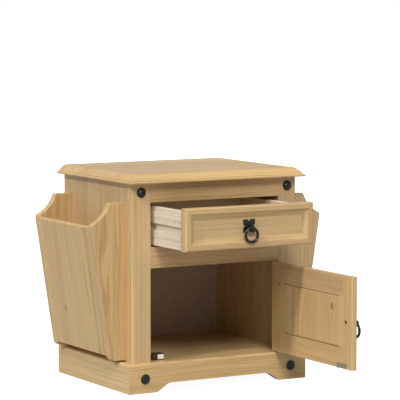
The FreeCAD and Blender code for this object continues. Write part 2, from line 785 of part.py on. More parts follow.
def door_pieces():
    closed = {
        "door_hinge_stile": right_stile(),
        "door_free_stile": left_stile(),
        "door_top_rail": top_door_rail(),
        "door_bottom_rail": bottom_door_rail(),
        "door_panel": door_panel(),
        "upper_hinge_door_leaf": door_leaf(HINGE_Z[1]),
        "lower_hinge_door_leaf": door_leaf(HINGE_Z[0]),
        "door_small_screws": Part.makeCompound(door_hinge_screws() + strike_screws()),
        "strike_plate": strike_plate(),
        "door_pull_plate": pull_at(pull_plate(), DOOR_PULL_X, DOOR_FACE_Y, DOOR_PULL_Z),
        "door_pull_bolt": door_bolt(),
        "door_pull_ring": pull_at(pull_ring(), DOOR_PULL_X, DOOR_FACE_Y, DOOR_PULL_Z),
    }
    return {name: opened(shape) for name, shape in closed.items()}


def export(name, piece):
    """Write one node, moved so that the cabinet's footprint is centred on the origin."""
    solids = piece if isinstance(piece, list) else piece.Solids
    shape = solids[0] if len(solids) == 1 else Part.makeCompound(solids)
    shape = shape.copy()
    shape.translate(V(0, -BODY_D / 2, 0))
    if not shape.isValid():
        print("invalid shape:", name)
    print(f"{name:24s} {len(shape.Solids):3d} solids {shape.Volume / 1000:9.2f} cm3")
    shape.exportStep(os.path.join("parts", name + ".step"))


os.makedirs("parts", exist_ok=True)
for group in (root_pieces(), rack_pieces(), drawer_pieces(), door_pieces()):
    for name, piece in group.items():
        export(name, piece)
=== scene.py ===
"""A lacquered pine nightstand with two magazine racks, one drawer and one panelled door."""

import math

import bmesh
import bpy
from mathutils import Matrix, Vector, noise


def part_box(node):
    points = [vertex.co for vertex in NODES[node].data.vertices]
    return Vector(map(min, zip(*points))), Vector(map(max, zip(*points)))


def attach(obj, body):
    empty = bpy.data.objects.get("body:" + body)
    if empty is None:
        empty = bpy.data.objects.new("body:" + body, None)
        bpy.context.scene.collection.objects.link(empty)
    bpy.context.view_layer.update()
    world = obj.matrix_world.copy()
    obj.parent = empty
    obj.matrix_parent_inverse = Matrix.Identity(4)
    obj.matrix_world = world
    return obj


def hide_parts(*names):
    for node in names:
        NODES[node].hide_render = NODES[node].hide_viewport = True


bl_info = {
    "name": "Pine nightstand",
    "version": (1, 0, 0),
    "blender": (4, 5, 0),
    "location": "View3D > Sidebar > Nightstand",
    "description": "Finishes a pine nightstand: boards, ironwork, nails and a plain studio",
    "category": "Object",
}

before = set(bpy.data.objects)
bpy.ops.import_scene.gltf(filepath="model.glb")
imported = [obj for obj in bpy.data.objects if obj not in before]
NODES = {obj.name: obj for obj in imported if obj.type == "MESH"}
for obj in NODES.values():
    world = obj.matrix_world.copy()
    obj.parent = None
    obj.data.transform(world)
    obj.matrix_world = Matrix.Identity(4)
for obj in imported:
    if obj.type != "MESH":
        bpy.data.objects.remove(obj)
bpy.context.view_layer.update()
MM = 0.001

JOINT_SHIFT = 0.37  # glue lines lie off the middle of a board by this share of a stave
ONE_STAVE = 4.0  # metres, wider than any board: the stave of a board that is in one piece
RING_CONTRAST = 0.5  # how far the darkest ring line goes towards the late wood's colour
WORN_LIFT = 3.2  # how much paler iron is where its blacking is worn


# ---------------------------------------------------------------- sizes and colours
def srgb(text):
    """An sRGB hex colour as linear red, green and blue."""
    values = [int(text[i:i + 2], 16) / 255 for i in (0, 2, 4)]
    return [v / 12.92 if v <= 0.04045 else ((v + 0.055) / 1.055) ** 2.4 for v in values]


def rgba(colour):
    """A colour with full cover, for a shader socket."""
    return (*colour, 1.0)


def colour_prop(name, text, description):
    return bpy.props.FloatVectorProperty(
        name=name, description=description, subtype="COLOR", size=3, min=0, max=1, default=srgb(text)
    )


def length_prop(name, value, description):
    return bpy.props.FloatProperty(
        name=name, description=description, subtype="DISTANCE", unit="LENGTH", min=0, default=value * MM
    )


def strength_prop(name, value, description):
    return bpy.props.FloatProperty(name=name, description=description, min=0, default=value)


class NightstandWood(bpy.types.PropertyGroup):
    """Colours and grain of the wood."""

    early: colour_prop("Spring wood", "cfae7b", "Pale wood between the ring lines of the lacquered boards")
    late: colour_prop("Summer wood", "a37c48", "Darker ring lines of the lacquered boards")
    knot: colour_prop("Knot", "8c5f33", "Heart of a knot")
    bare_early: colour_prop("Bare spring wood", "dccfba", "Pale wood of the unfinished boards")
    bare_late: colour_prop("Bare summer wood", "bfa988", "Ring lines of the unfinished boards")
    board: colour_prop("Pressed board", "bfa78f", "Smooth face of the thin back and drawer bottom")
    ring_gap: length_prop("Ring spacing", 4.6, "Distance between two ring lines")
    stave: length_prop("Stave width", 62.0, "Width of the strips that the wide boards are glued from")


class NightstandMetal(bpy.types.PropertyGroup):
    """Colours of the metal and plastic, and the sizes of the small ironwork."""

    iron: colour_prop("Blackened iron", "0e0e10", "Studs, plates and rings")
    steel: colour_prop("Plated steel", "c9c9c2", "Screws, nails, cams and the strike plate")
    brass: colour_prop("Brass plate", "c2a262", "Hinge leaves, hinge pins and the bolts of the ring pulls")
    housing: colour_prop("Catch housing", "34281c", "Body of the magnetic catch")
    magnet: colour_prop("Catch block", "fbf9f5", "Pale block that carries the magnet")
    facet: length_prop("Hammer mark", 5.0, "Width of one hammer mark on the ironwork")
    nail_gap: length_prop("Nail spacing", 58.0, "Distance between the nails of the back panel")
    nail_head: length_prop("Nail head", 4.0, "Diameter of the head of a back panel nail")


class NightstandStage(bpy.types.PropertyGroup):
    """The studio round the nightstand."""

    key: strength_prop("Key light", 1.55, "Strength of the lamp on the left")
    fill: strength_prop("Front light", 1.72, "Strength of the soft lamp in front")
    top: strength_prop("Top light", 0.75, "Strength of the lamp overhead")
    sky: strength_prop("Room light", 0.2, "Strength of the even light from all round")


# ---------------------------------------------------------------- node trees
def add(tree, kind, inputs=None, **settings):
    """Add a node with its settings, and give each input a value or the output of another node."""
    node = tree.nodes.new(kind)
    for name, value in settings.items():
        setattr(node, name, value)
    for socket, value in (inputs or {}).items():
        if isinstance(value, bpy.types.Node):
            value = value.outputs[0]
        if isinstance(value, bpy.types.NodeSocket):
            tree.links.new(value, node.inputs[socket])
        else:
            node.inputs[socket].default_value = value
    return node


def socket_list(tree, direction, names):
    """Give a tree its named sockets."""
    for name, kind in names:
        tree.interface.new_socket(name, in_out=direction, socket_type="NodeSocket" + kind)


def set_ramp(node, stops):
    """Set the stops of a ramp as position and grey value."""
    ramp = node.color_ramp
    while len(ramp.elements) > 1:
        ramp.elements.remove(ramp.elements[-1])
    for index, (position, grey) in enumerate(stops):
        stop = ramp.elements[0] if index == 0 else ramp.elements.new(position)
        stop.position = position
        stop.color = (grey, grey, grey, 1)
    return node


def figure_group():
    """The growth rings, fibre and glued staves of pine.

    Place is in metres, with X along the grain, Y across the face and Z through the board.
    """
    tree = bpy.data.node_groups.new("pine figure", "ShaderNodeTree")
    socket_list(tree, "INPUT", [
        ("Place", "Vector"), ("Seed", "Float"), ("Stave", "Float"), ("Ring Gap", "Float"),
        ("Early", "Color"), ("Late", "Color"), ("Contrast", "Float"),
    ])
    socket_list(tree, "OUTPUT", [("Color", "Color"), ("Line", "Float"), ("Fibre", "Float")])
    given = add(tree, "NodeGroupInput").outputs
    place = add(tree, "ShaderNodeSeparateXYZ", {0: given["Place"]}).outputs

    # Each stave comes from its own tree, so it has its own tone and its own rings.
    across = add(tree, "ShaderNodeMath", {0: place[1], 1: given["Stave"]}, operation="DIVIDE")
    centred = add(tree, "ShaderNodeMath", {0: across, 1: JOINT_SHIFT}, operation="ADD")
    stave = add(tree, "ShaderNodeMath", {0: centred}, operation="FLOOR")
    key = add(tree, "ShaderNodeCombineXYZ", {0: stave, 1: given["Seed"]})
    chance = add(tree, "ShaderNodeTexWhiteNoise", {0: key})
    tone = chance.outputs["Value"]
    pick = add(tree, "ShaderNodeSeparateXYZ", {0: chance.outputs["Color"]}).outputs
    shift = add(tree, "ShaderNodeVectorMath", {0: chance.outputs["Color"], 1: (9, 5, 0)},
                operation="MULTIPLY")
    moved = add(tree, "ShaderNodeVectorMath", {0: given["Place"], 1: shift}, operation="ADD")

    # The trunk bends slowly along its length, and small waves run through its rings.
    slow_at = add(tree, "ShaderNodeVectorMath", {0: moved, 1: (2.4, 6.0, 6.0)}, operation="MULTIPLY")
    slow = add(tree, "ShaderNodeTexNoise", {"Vector": slow_at, "Scale": 1.0, "Detail": 1.5})
    bend = add(tree, "ShaderNodeMath", {0: slow, 1: 0.5}, operation="SUBTRACT")
    bend = add(tree, "ShaderNodeMath", {0: bend, 1: 0.06}, operation="MULTIPLY")
    quick_at = add(tree, "ShaderNodeVectorMath", {0: moved, 1: (7.0, 60.0, 60.0)}, operation="MULTIPLY")
    quick = add(tree, "ShaderNodeTexNoise", {"Vector": quick_at, "Scale": 1.0, "Detail": 2.0})
    wave = add(tree, "ShaderNodeMath", {0: quick, 1: 0.5}, operation="SUBTRACT")
    wave = add(tree, "ShaderNodeMath", {0: wave, 1: 0.006}, operation="MULTIPLY")

    # Distance from the heart of the trunk, which lies some way under the face.
    heart_y = add(tree, "ShaderNodeMath", {0: pick[1], 1: 0.5}, operation="SUBTRACT")
    heart_y = add(tree, "ShaderNodeMath", {0: heart_y, 1: 0.16, 2: bend}, operation="MULTIPLY_ADD")
    rise = add(tree, "ShaderNodeMath", {0: pick[2], 1: 0.06, 2: 0.025}, operation="MULTIPLY_ADD")
    from_y = add(tree, "ShaderNodeMath", {0: place[1], 1: heart_y}, operation="SUBTRACT")
    whole = add(tree, "ShaderNodeMath", {0: stave, 1: given["Stave"]}, operation="MULTIPLY")
    from_y = add(tree, "ShaderNodeMath", {0: from_y, 1: whole}, operation="SUBTRACT")
    from_z = add(tree, "ShaderNodeMath", {0: place[2], 1: rise}, operation="ADD")
    square = add(tree, "ShaderNodeMath", {0: from_y, 1: from_y}, operation="MULTIPLY")
    square = add(tree, "ShaderNodeMath", {0: from_z, 1: from_z, 2: square}, operation="MULTIPLY_ADD")
    reach = add(tree, "ShaderNodeMath", {0: square}, operation="SQRT")
    reach = add(tree, "ShaderNodeMath", {0: reach, 1: wave}, operation="ADD")
    count = add(tree, "ShaderNodeMath", {0: reach, 1: given["Ring Gap"]}, operation="DIVIDE")
    number = add(tree, "ShaderNodeMath", {0: count}, operation="FLOOR")
    part = add(tree, "ShaderNodeMath", {0: count}, operation="FRACT")
    line = add(tree, "ShaderNodeValToRGB", {0: part})
    set_ramp(line, [(0.0, 0.0), (0.45, 0.16), (0.78, 0.72), (0.92, 1.0), (1.0, 0.02)])
    year = add(tree, "ShaderNodeTexWhiteNoise", {0: number, 1: number}, noise_dimensions="1D")
    weight = add(tree, "ShaderNodeMapRange", {0: year.outputs["Value"], 3: 0.35, 4: 1.0})
    line = add(tree, "ShaderNodeMath", {0: line, 1: weight}, operation="MULTIPLY")

    # Fibres are drawn one to two millimetres wide, coarser than real ones, and a few centimetres long.
    thread_at = add(tree, "ShaderNodeVectorMath", {0: moved, 1: (22, 620, 620)}, operation="MULTIPLY")
    thread = add(tree, "ShaderNodeTexNoise", {"Vector": thread_at, "Scale": 1.0, "Detail": 3.0})
    cloud_at = add(tree, "ShaderNodeVectorMath", {0: moved, 1: (4, 26, 26)}, operation="MULTIPLY")
    cloud = add(tree, "ShaderNodeTexNoise", {"Vector": cloud_at, "Scale": 1.0, "Detail": 2.0})

    # Streaks about a centimetre wide run most of a board's length.
    streak_at = add(tree, "ShaderNodeVectorMath", {0: moved, 1: (2.2, 105, 105)}, operation="MULTIPLY")
    streak = add(tree, "ShaderNodeTexNoise", {"Vector": streak_at, "Scale": 1.0, "Detail": 2.0})

    strength = add(tree, "ShaderNodeMath", {0: line, 1: given["Contrast"]}, operation="MULTIPLY")
    fibre = add(tree, "ShaderNodeMath", {0: thread, 1: 0.5}, operation="SUBTRACT")
    band = add(tree, "ShaderNodeMath", {0: streak, 1: 0.45}, operation="SUBTRACT")
    mixed = add(tree, "ShaderNodeMath", {0: band, 1: 1.1, 2: strength}, operation="MULTIPLY_ADD")
    mixed = add(tree, "ShaderNodeMath", {0: fibre, 1: 0.45, 2: mixed}, operation="MULTIPLY_ADD")
    colour = add(tree, "ShaderNodeMix", {0: mixed, 6: given["Early"], 7: given["Late"]}, data_type="RGBA")
    light = add(tree, "ShaderNodeMapRange", {0: tone, 3: 0.94, 4: 1.05})
    patch = add(tree, "ShaderNodeMapRange", {0: cloud, 1: 0.3, 2: 0.7, 3: 0.955, 4: 1.04})
    light = add(tree, "ShaderNodeMath", {0: light, 1: patch}, operation="MULTIPLY")
    hue = add(tree, "ShaderNodeMapRange", {0: pick[0], 3: 0.497, 4: 0.503})
    rich = add(tree, "ShaderNodeMapRange", {0: pick[2], 3: 0.96, 4: 1.04})
    toned = add(tree, "ShaderNodeHueSaturation", {"Hue": hue, "Saturation": rich, "Value": light,
                                                  "Color": colour.outputs[2]})
    add(tree, "NodeGroupOutput", {"Color": toned, "Line": line, "Fibre": thread})
    return tree


def knot_group():
    """A knot that runs through a board: rings of its own, and grain that flows round it."""
    tree = bpy.data.node_groups.new("pine knot", "ShaderNodeTree")
    socket_list(tree, "INPUT", [("Place", "Vector"), ("Heart", "Vector"), ("Radius", "Float")])
    socket_list(tree, "OUTPUT", [("Place", "Vector"), ("Cover", "Float"), ("Shade", "Float")])
    given = add(tree, "NodeGroupInput").outputs
    apart = add(tree, "ShaderNodeVectorMath", {0: given["Place"], 1: given["Heart"]}, operation="SUBTRACT")
    wobble = add(tree, "ShaderNodeTexNoise", {"Vector": apart, "Scale": 130.0, "Detail": 1.0})
    # A knot is cut slightly across its length, so it shows as an oval along the grain.
    oval = add(tree, "ShaderNodeVectorMath", {0: apart, 1: (0.72, 1.0, 0.15)}, operation="MULTIPLY")
    far = add(tree, "ShaderNodeVectorMath", {0: oval}, operation="LENGTH")
    ratio = add(tree, "ShaderNodeMath", {0: far.outputs["Value"], 1: given["Radius"]}, operation="DIVIDE")
    uneven = add(tree, "ShaderNodeMath", {0: wobble, 1: 0.5}, operation="SUBTRACT")
    ratio = add(tree, "ShaderNodeMath", {0: uneven, 1: 0.55, 2: ratio}, operation="MULTIPLY_ADD")
    cover = set_ramp(add(tree, "ShaderNodeValToRGB", {0: ratio}),
                     [(0.0, 1.0), (0.5, 0.85), (1.0, 0.0)])
    rings = add(tree, "ShaderNodeMath", {0: ratio, 1: 19.0}, operation="MULTIPLY")
    rings = add(tree, "ShaderNodeMath", {0: rings}, operation="SINE")
    shade = set_ramp(add(tree, "ShaderNodeValToRGB", {0: ratio}),
                     [(0.0, 0.95), (0.14, 0.5), (0.6, 0.3), (0.85, 0.65), (1.0, 0.5)])
    shade = add(tree, "ShaderNodeMath", {0: rings, 1: 0.12, 2: shade}, operation="MULTIPLY_ADD")

    # Push the grain aside: strongest at the knot's heart and gone four radii away.
    spread = add(tree, "ShaderNodeMath", {0: ratio, 1: 2.0}, operation="DIVIDE")
    spread = add(tree, "ShaderNodeMath", {0: spread, 1: spread}, operation="MULTIPLY")
    spread = add(tree, "ShaderNodeMath", {0: spread, 1: -1.0}, operation="MULTIPLY")
    push = add(tree, "ShaderNodeMath", {0: spread}, operation="EXPONENT")
    push = add(tree, "ShaderNodeMath", {0: push, 1: -0.9}, operation="MULTIPLY")
    aside = add(tree, "ShaderNodeVectorMath", {0: apart, 1: (0.0, 1.0, 0.0)}, operation="MULTIPLY")
    aside = add(tree, "ShaderNodeVectorMath", {0: aside, "Scale": push}, operation="SCALE")
    moved = add(tree, "ShaderNodeVectorMath", {0: given["Place"], 1: aside}, operation="ADD")
    add(tree, "NodeGroupOutput", {"Place": moved, "Cover": cover, "Shade": shade})
    return tree


def once(store, name, maker):
    """A node group or a material, made the first time that it is asked for."""
    return store.get(name) or maker()


def new_material(name):
    """An empty material and its node tree."""
    material = bpy.data.materials.new(name)
    material.use_nodes = True
    material.node_tree.nodes.clear()
    return material, material.node_tree


def turned_place(tree, node, grain, tilt):
    """Object coordinates from a board's middle, turned so that X runs along its grain.

    Also gives the function that takes a spot in millimetres to those coordinates.
    """
    low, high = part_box(node)
    size = high - low
    middle = (low + high) / 2
    along = "xyz".index(grain)
    others = sorted((i for i in range(3) if i != along), key=lambda i: -size[i])
    where = add(tree, "ShaderNodeTexCoord").outputs["Object"]
    centred = add(tree, "ShaderNodeVectorMath", {0: where, 1: tuple(middle)}, operation="SUBTRACT")
    level = add(tree, "ShaderNodeMapping", {"Vector": centred, "Rotation": (0, tilt, 0)})
    parts = add(tree, "ShaderNodeSeparateXYZ", {0: level}).outputs
    order = (along, *others)
    place = add(tree, "ShaderNodeCombineXYZ", {i: parts[axis] for i, axis in enumerate(order)})

    def to_board(spot):
        offset = Vector(spot) * MM - middle
        return [offset[axis] for axis in order]

    return place, to_board


def pine(node, grain, seed, early, late, staves=False, knots=(), tilt=0.0, lacquer=True):
    """Pine, planed across its rings.

    Lacquered, it has soft honey lines under a satin skin that takes a broad highlight.
    Bare, it is paler and dry, with no skin.
    """
    wood = bpy.context.scene.nightstand_wood
    material, tree = new_material(("lacquered pine " if lacquer else "planed bare pine ") + node)
    place, to_board = turned_place(tree, node, grain, tilt)
    covers = []
    for spot, radius in knots:
        knot = add(tree, "ShaderNodeGroup", node_tree=once(bpy.data.node_groups, "pine knot", knot_group))
        tree.links.new(place.outputs[0], knot.inputs["Place"])
        knot.inputs["Heart"].default_value = to_board(spot)
        knot.inputs["Radius"].default_value = radius * MM
        covers.append((knot.outputs["Cover"], knot.outputs["Shade"]))
        place = knot
    figure = add(tree, "ShaderNodeGroup",
                 node_tree=once(bpy.data.node_groups, "pine figure", figure_group))
    tree.links.new(place.outputs[0], figure.inputs["Place"])
    figure.inputs["Seed"].default_value = seed
    figure.inputs["Stave"].default_value = wood.stave if staves else ONE_STAVE
    figure.inputs["Ring Gap"].default_value = wood.ring_gap
    figure.inputs["Early"].default_value = rgba(early)
    figure.inputs["Late"].default_value = rgba(late)
    figure.inputs["Contrast"].default_value = RING_CONTRAST
    colour = figure.outputs["Color"]
    for cover, shade in covers:
        heart = add(tree, "ShaderNodeMix", {0: shade, 6: rgba(late), 7: rgba(wood.knot)}, data_type="RGBA")
        knotted = add(tree, "ShaderNodeMix", {0: cover, 6: colour, 7: heart.outputs[2]}, data_type="RGBA")
        colour = knotted.outputs[2]
    # Latewood stands a little proud of the softer early wood, and the fibre makes the sheen uneven.
    height = add(tree, "ShaderNodeMath", {0: figure.outputs["Line"], 1: 0.5, 2: figure.outputs["Fibre"]},
                 operation="MULTIPLY_ADD")
    bump = add(tree, "ShaderNodeBump", {"Strength": 0.22 if lacquer else 0.4, "Distance": 0.12 * MM,
                                        "Height": height})
    rough = add(tree, "ShaderNodeMapRange", {0: figure.outputs["Fibre"],
                                             3: 0.36 if lacquer else 0.62, 4: 0.50 if lacquer else 0.78})
    shader = add(tree, "ShaderNodeBsdfPrincipled", {
        "Base Color": colour, "Roughness": rough, "Normal": bump, "IOR": 1.5,
        "Coat Weight": 0.22 if lacquer else 0.0, "Coat Roughness": 0.24,
    })
    add(tree, "ShaderNodeOutputMaterial", {"Surface": shader})
    return material


def dress(node, material):
    """Give a CAD node one material in every slot."""
    slots = NODES[node].data.materials
    slots.clear()
    slots.append(material)


def solid_finish(name, colour, metallic=0.0, roughness=0.5, mottling=0.06, scale=400.0, bump_mm=0.02):
    """One colour with fine mottling in its tone and roughness."""
    material, tree = new_material(name)
    where = add(tree, "ShaderNodeTexCoord").outputs["Object"]
    grit = add(tree, "ShaderNodeTexNoise", {"Vector": where, "Scale": scale, "Detail": 3.0})
    cloud = add(tree, "ShaderNodeTexNoise", {"Vector": where, "Scale": scale / 9, "Detail": 2.0})
    both = add(tree, "ShaderNodeMath", {0: grit, 1: cloud}, operation="ADD")
    light = add(tree, "ShaderNodeMapRange", {0: both, 1: 0.6, 2: 1.4, 3: 1 - mottling, 4: 1 + mottling})
    toned = add(tree, "ShaderNodeHueSaturation", {"Value": light, "Color": rgba(colour)})
    rough = add(tree, "ShaderNodeMapRange", {0: both, 1: 0.6, 2: 1.4,
                                             3: roughness - 0.07, 4: roughness + 0.07})
    bump = add(tree, "ShaderNodeBump", {"Strength": 0.4, "Distance": bump_mm * MM, "Height": grit})
    shader = add(tree, "ShaderNodeBsdfPrincipled", {
        "Base Color": toned, "Roughness": rough, "Normal": bump, "Metallic": metallic,
    })
    add(tree, "ShaderNodeOutputMaterial", {"Surface": shader})
    return material


def plated_steel():
    """Zinc-plated steel: a cool pale grey with a soft bright shine."""
    metal = bpy.context.scene.nightstand_metal
    return solid_finish("zinc plated steel", metal.steel, metallic=1.0, roughness=0.32, mottling=0.08)


def blackened_iron():
    """Forged iron, blackened and waxed: near black, with soft glints on the hammer marks."""
    metal = bpy.context.scene.nightstand_metal
    material, tree = new_material("blackened forged iron")
    where = add(tree, "ShaderNodeTexCoord").outputs["Object"]
    marks = add(tree, "ShaderNodeTexVoronoi",
                {"Vector": where, "Scale": 1 / metal.facet, "Smoothness": 0.5}, feature="SMOOTH_F1")
    scale = add(tree, "ShaderNodeTexNoise", {"Vector": where, "Scale": 900.0, "Detail": 3.0})
    worn = set_ramp(add(tree, "ShaderNodeValToRGB", {0: scale}), [(0.0, 0.0), (0.55, 0.1), (0.75, 1.0)])
    pale = [min(1.0, c * WORN_LIFT) for c in metal.iron]
    colour = add(tree, "ShaderNodeMix", {0: worn, 6: rgba(metal.iron), 7: rgba(pale)}, data_type="RGBA")
    height = add(tree, "ShaderNodeMath", {0: scale, 1: 0.15, 2: marks}, operation="MULTIPLY_ADD")
    bump = add(tree, "ShaderNodeBump", {"Strength": 0.5, "Distance": 0.5 * MM, "Height": height})
    rough = add(tree, "ShaderNodeMapRange", {0: scale, 3: 0.42, 4: 0.6})
    shader = add(tree, "ShaderNodeBsdfPrincipled", {
        "Base Color": colour.outputs[2], "Roughness": rough, "Normal": bump, "Metallic": 0.1,
        "Specular IOR Level": 0.15, "Coat Weight": 0.8, "Coat Roughness": 0.09,
    })
    add(tree, "ShaderNodeOutputMaterial", {"Surface": shader})
    return material


# ---------------------------------------------------------------- pieces
def new_piece(name, mesh, body):
    """A piece of its own from a mesh, riding on a body."""
    piece = bpy.data.objects.new(name, mesh)
    bpy.context.scene.collection.objects.link(piece)
    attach(piece, body)
    return piece


# ---------------------------------------------------------------- operators
class NIGHTSTAND_OT_lacquered_boards(bpy.types.Operator):
    """Give every lacquered board its own pine, with the grain along it"""

    bl_idname = "nightstand.lacquered_boards"
    bl_label = "Lacquered boards"

    # node: grain axis, seed, glued from staves, knots as ((x, y, z), radius) in millimetres
    BOARDS = {
        "top_board": ("x", 3, True, [((-120, 40, 500), 7)]),
        "left_side_panel": ("z", 11, True, [((-219, 60, 300), 6)]),
        "right_side_panel": ("z", 12, True, []),
        "left_front_post": ("z", 5, False, []),
        "right_front_post": ("z", 23, False, []),
        "top_rail": ("x", 31, False, []),
        "middle_rail": ("x", 8, False, []),
        "cupboard_floor": ("x", 14, True, []),
        "plinth_front": ("x", 42, False, []),
        "plinth_left": ("y", 17, False, []),
        "plinth_right": ("y", 18, False, []),
        "left_rack_front_end": ("z", 51, False, []),
        "right_rack_front_end": ("z", 52, False, []),
        "left_rack_back_end": ("z", 53, False, []),
        "right_rack_back_end": ("z", 54, False, []),
        "left_rack_face": ("z", 61, True, [((-276, 60, 172), 7)]),
        "right_rack_face": ("z", 62, True, []),
        "left_rack_floor": ("y", 63, False, []),
        "right_rack_floor": ("y", 64, False, []),
        "door_hinge_stile": ("z", 71, False, [((152, -208, 232), 5)]),
        "door_free_stile": ("z", 72, False, []),
        "door_top_rail": ("y", 73, False, [((152, -454, 268), 2.5), ((152, -472, 268), 2)]),
        "door_bottom_rail": ("y", 74, False, []),
        "door_panel": ("z", 75, True, [((152, -432, 207), 8)]),
        "drawer_front_panel": ("x", 81, False, []),
        "drawer_frame_top": ("x", 82, False, []),
        "drawer_frame_bottom": ("x", 83, False, []),
        "drawer_frame_left": ("z", 84, False, []),
        "drawer_frame_right": ("z", 85, False, []),
    }
    FACE_TILT = math.radians(8.8)  # the rack faces lean outwards

    def execute(self, context):
        wood = context.scene.nightstand_wood
        for node, (grain, seed, staves, knots) in self.BOARDS.items():
            tilt = 0.0
            if node.endswith("rack_face"):
                tilt = self.FACE_TILT if node.startswith("left") else -self.FACE_TILT
            dress(node, pine(node, grain, seed, wood.early, wood.late, staves, knots, tilt))
        return {"FINISHED"}


class NIGHTSTAND_OT_bare_boards(bpy.types.Operator):
    """Give the boards of the drawer box and the hidden framing bare pine"""

    bl_idname = "nightstand.bare_boards"
    bl_label = "Bare boards"

    BOARDS = {
        "drawer_side_left": ("y", 101),
        "drawer_side_right": ("y", 102),
        "drawer_back": ("x", 103),
        "back_top_rail": ("x", 104),
        "back_bottom_rail": ("x", 105),
        "left_drawer_runner": ("y", 106),
        "right_drawer_runner": ("y", 107),
        "plinth_corner_blocks": ("z", 108),
        "top_fixing_blocks": ("y", 109),
    }

    def execute(self, context):
        wood = context.scene.nightstand_wood
        for node, (grain, seed) in self.BOARDS.items():
            dress(node, pine(node, grain, seed, wood.bare_early, wood.bare_late, lacquer=False))
        return {"FINISHED"}


class NIGHTSTAND_OT_pressed_boards(bpy.types.Operator):
    """Give the back panel and the drawer bottom pressed board"""

    bl_idname = "nightstand.pressed_boards"
    bl_label = "Pressed boards"

    def execute(self, context):
        # Hardboard, hot pressed from wood fibre: an even warm brown with fine dark flecks.
        board = solid_finish("pressed hardboard", context.scene.nightstand_wood.board,
                             roughness=0.55, mottling=0.16, scale=700.0, bump_mm=0.03)
        for node in ("back_panel", "drawer_bottom"):
            dress(node, board)
        return {"FINISHED"}


class NIGHTSTAND_OT_studs(bpy.types.Operator):
    """Replace the four studs with hammered round-headed nails"""

    bl_idname = "nightstand.studs"
    bl_label = "Corner studs"

    RADIUS = 12 * MM
    HEIGHT = 7 * MM
    ROWS = 6
    STEPS = 14
    HAMMERING = 0.7 * MM
    SEED = 1

    def execute(self, context):
        # Without a seed, the vector noise differs each time that Blender starts.
        noise.seed_set(self.SEED)
        shape = bmesh.new()
        for index, tip in enumerate(self.tips()):
            self.stud(shape, tip, index)
        bmesh.ops.recalc_face_normals(shape, faces=shape.faces)
        mesh = bpy.data.meshes.new("hammered_studs")
        shape.to_mesh(mesh)
        shape.free()
        mesh.shade_flat()
        mesh.materials.append(once(bpy.data.materials, "blackened forged iron", blackened_iron))
        piece = new_piece("hammered_studs", mesh, "cabinet")
        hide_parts("corner_studs")
        return {"FINISHED"}

    def tips(self):
        """The foremost point of each of the four domes."""
        low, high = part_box("corner_studs")
        middle = (low + high) / 2
        fronts = {}
        for vert in NODES["corner_studs"].data.vertices:
            corner = (vert.co.x > middle.x, vert.co.z > middle.z)
            fronts[corner] = min(vert.co.y, fronts.get(corner, high.y))
        spots = []
        for (right, upper), y in sorted(fronts.items()):
            x = high.x - self.RADIUS if right else low.x + self.RADIUS
            z = high.z - self.RADIUS if upper else low.z + self.RADIUS
            spots.append(Vector((x, y, z)))
        return spots

    def stud(self, shape, tip, seed):
        """A shallow dome with a turned-down rim and planished facets, closed at the back."""
        rings = []
        for row in range(1, self.ROWS + 1):
            angle = row / self.ROWS * math.pi / 2
            spread = self.RADIUS * math.sin(angle)
            depth = self.HEIGHT * (1 - math.cos(angle))
            ring = []
            for step in range(self.STEPS):
                turn = (step + 0.5 * (row % 2)) / self.STEPS * math.tau
                offset = Vector((spread * math.cos(turn), depth, spread * math.sin(turn)))
                if row < self.ROWS:
                    mark = Vector((seed * 9.1, turn * 1.7, row * 2.3))
                    wobble = noise.noise_vector(mark) * self.HAMMERING
                    offset += Vector((wobble.x, abs(wobble.y) * 0.6, wobble.z))
                ring.append(shape.verts.new(tip + offset))
            rings.append(ring)
        crown = shape.verts.new(tip)
        for step in range(self.STEPS):
            shape.faces.new((crown, rings[0][step], rings[0][(step + 1) % self.STEPS]))
        for inner, outer in zip(rings, rings[1:]):
            for step in range(self.STEPS):
                ahead = (step + 1) % self.STEPS
                shape.faces.new((inner[step], outer[step], outer[ahead], inner[ahead]))
        shape.faces.new(rings[-1])


class NIGHTSTAND_OT_ironwork(bpy.types.Operator):
    """Blacken the ring pulls"""

    bl_idname = "nightstand.ironwork"
    bl_label = "Ring pulls"

    def execute(self, context):
        iron = once(bpy.data.materials, "blackened forged iron", blackened_iron)
        for node in ("drawer_pull_plate", "drawer_pull_ring", "door_pull_plate", "door_pull_ring"):
            dress(node, iron)
        return {"FINISHED"}


class NIGHTSTAND_OT_fittings(bpy.types.Operator):
    """Finish the screws, bolts, hinges, cams and the catch"""

    bl_idname = "nightstand.fittings"
    bl_label = "Fittings"

    def execute(self, context):
        metal = context.scene.nightstand_metal
        steel = once(bpy.data.materials, "zinc plated steel", plated_steel)
        # Brass-plated steel: warm and slightly dulled.
        brass = solid_finish("satin brass plate", metal.brass, metallic=1.0, roughness=0.36, mottling=0.08)
        # Moulded ABS: matt brown.
        housing = solid_finish("brown moulded plastic", metal.housing, roughness=0.48, bump_mm=0.03)
        # Moulded nylon: off-white, slightly waxy.
        magnet = solid_finish("white moulded nylon", metal.magnet, roughness=0.3, mottling=0.02)
        finishes = {
            steel: ("carcass_screws", "runner_screws", "cabinet_small_screws", "door_small_screws",
                    "strike_plate", "drawer_cam_locks"),
            brass: ("upper_hinge_post_leaf", "lower_hinge_post_leaf", "upper_hinge_door_leaf",
                    "lower_hinge_door_leaf", "hinge_pins", "drawer_pull_bolt", "door_pull_bolt"),
            housing: ("catch_housing",),
            magnet: ("catch_magnet",),
        }
        for material, nodes in finishes.items():
            for node in nodes:
                dress(node, material)
        return {"FINISHED"}


